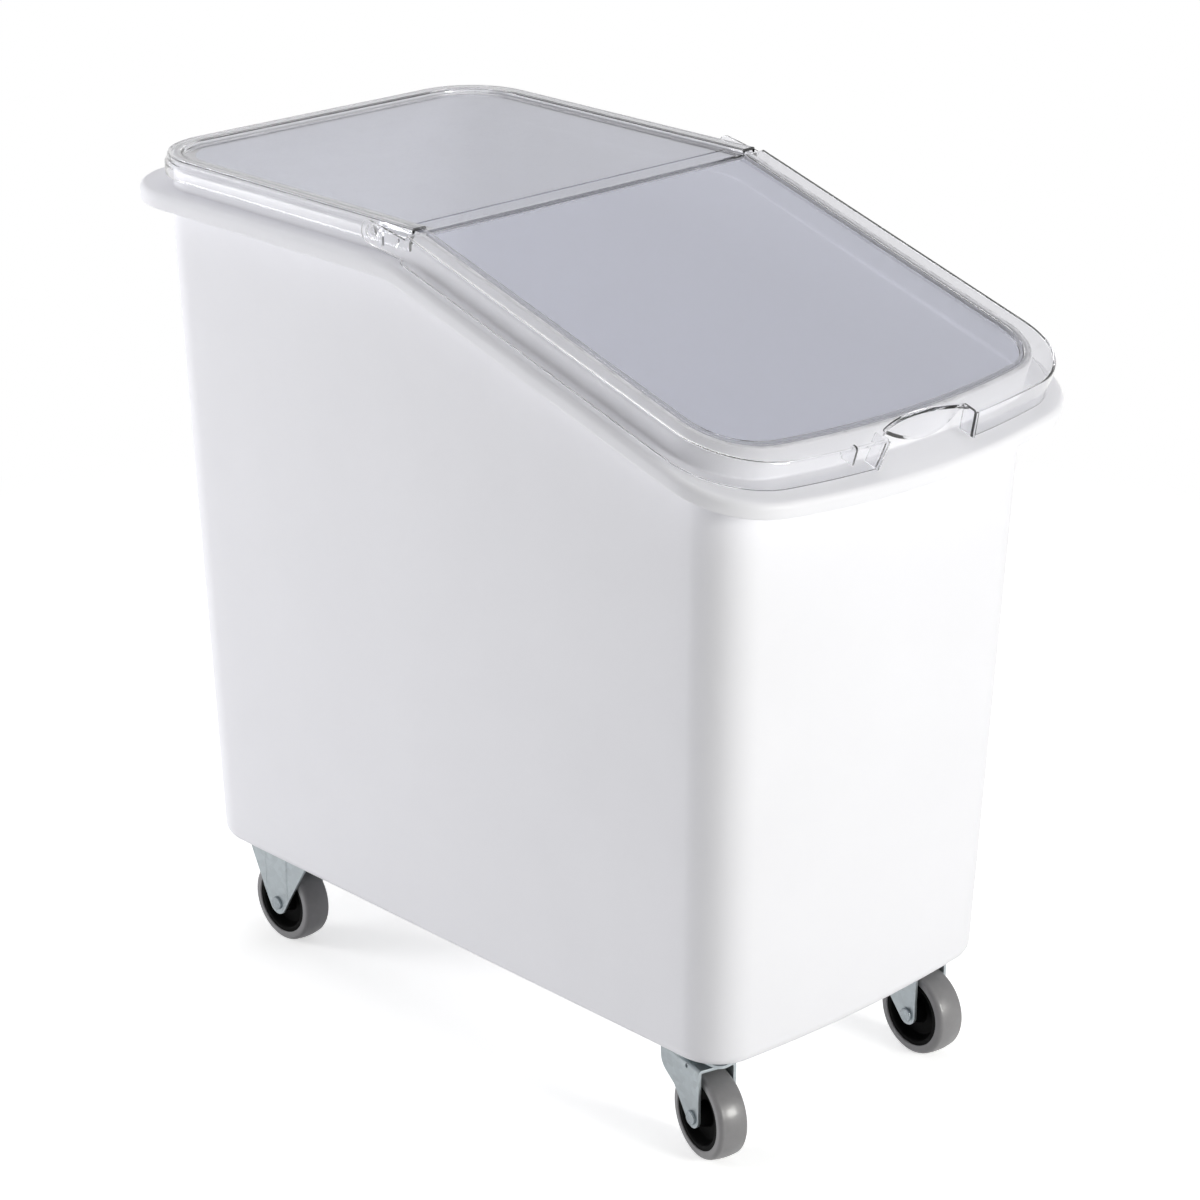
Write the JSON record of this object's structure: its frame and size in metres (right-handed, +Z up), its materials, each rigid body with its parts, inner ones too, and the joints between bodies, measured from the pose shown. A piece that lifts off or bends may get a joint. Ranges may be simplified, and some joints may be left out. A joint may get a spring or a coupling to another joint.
{
  "type": "wheeled ingredient bin",
  "caption": "Tall white food-ingredient bin with drafted walls, a sloping front, a clear hinged front lid, a clear rear lid, fixed rear casters and swivel front casters.",
  "frame": {"origin": "on the floor, under the middle of the rim's outline", "axes": "+Z up, the sloping front with the finger pull faces -Y, X across the bin"},
  "size_m": [0.4122, 0.7472, 0.7165],
  "materials": {
    "white_polyethylene": "fine satin moulding grain",
    "clear_polycarbonate": "clear, polished",
    "zinc_plated_steel": "zinc plated pressed sheet",
    "bright_zinc_steel": "bright zinc",
    "black_polypropylene": "satin",
    "grey_rubber": "non-marking, matte"
  },
  "bodies": {
    "bin": {"bin_body": "white_polyethylene", "rear_left_bracket": "zinc_plated_steel", "rear_left_axle": "bright_zinc_steel", "rear_right_bracket": "zinc_plated_steel", "rear_right_axle": "bright_zinc_steel", "front_left_plate": "zinc_plated_steel", "front_left_pin": "bright_zinc_steel", "front_left_balls": "bright_zinc_steel", "front_right_plate": "zinc_plated_steel", "front_right_pin": "bright_zinc_steel", "front_right_balls": "bright_zinc_steel", "caster_bolts": "bright_zinc_steel", "caster_washers": "bright_zinc_steel", "caster_nuts": "bright_zinc_steel"},
    "rear_lid": {"rear_lid": "clear_polycarbonate"},
    "front_lid": {"front_lid": "clear_polycarbonate"},
    "front_left_swivel": {"front_left_fork": "zinc_plated_steel", "front_left_axle": "bright_zinc_steel"},
    "front_left_wheel": {"front_left_hub": "black_polypropylene", "front_left_tread": "grey_rubber"},
    "front_right_swivel": {"front_right_fork": "zinc_plated_steel", "front_right_axle": "bright_zinc_steel"},
    "front_right_wheel": {"front_right_hub": "black_polypropylene", "front_right_tread": "grey_rubber"},
    "rear_left_wheel": {"rear_left_hub": "black_polypropylene", "rear_left_tread": "grey_rubber"},
    "rear_right_wheel": {"rear_right_hub": "black_polypropylene", "rear_right_tread": "grey_rubber"}
  },
  "joints": [
    {"name": "rear_lid_lift", "type": "slide", "parent": "bin", "child": "rear_lid", "axis": [0, 0, 1], "range_m": [0, 0.08]},
    {"name": "front_lid_hinge", "type": "hinge", "parent": "rear_lid", "child": "front_lid", "pos_m": [0, 0.041, 0.707], "axis": [-1, 0, 0], "range_deg": [0, 156]},
    {"name": "front_left_swivel", "type": "hinge", "parent": "bin", "child": "front_left_swivel", "pos_m": [-0.125, -0.25, 0.086], "axis": [0, 0, 1], "continuous": true},
    {"name": "front_right_swivel", "type": "hinge", "parent": "bin", "child": "front_right_swivel", "pos_m": [0.125, -0.25, 0.086], "axis": [0, 0, 1], "continuous": true},
    {"name": "front_left_spin", "type": "hinge", "parent": "front_left_swivel", "child": "front_left_wheel", "pos_m": [-0.13153, -0.2762, 0.0375], "axis": [0.9703, -0.2419, 0], "continuous": true},
    {"name": "front_right_spin", "type": "hinge", "parent": "front_right_swivel", "child": "front_right_wheel", "pos_m": [0.12265, -0.2769, 0.0375], "axis": [0.9962, -0.0872, 0], "continuous": true},
    {"name": "rear_left_spin", "type": "hinge", "parent": "bin", "child": "rear_left_wheel", "pos_m": [-0.125, 0.251, 0.0375], "axis": [1, 0, 0], "continuous": true},
    {"name": "rear_right_spin", "type": "hinge", "parent": "bin", "child": "rear_right_wheel", "pos_m": [0.125, 0.251, 0.0375], "axis": [1, 0, 0], "continuous": true}
  ]
}
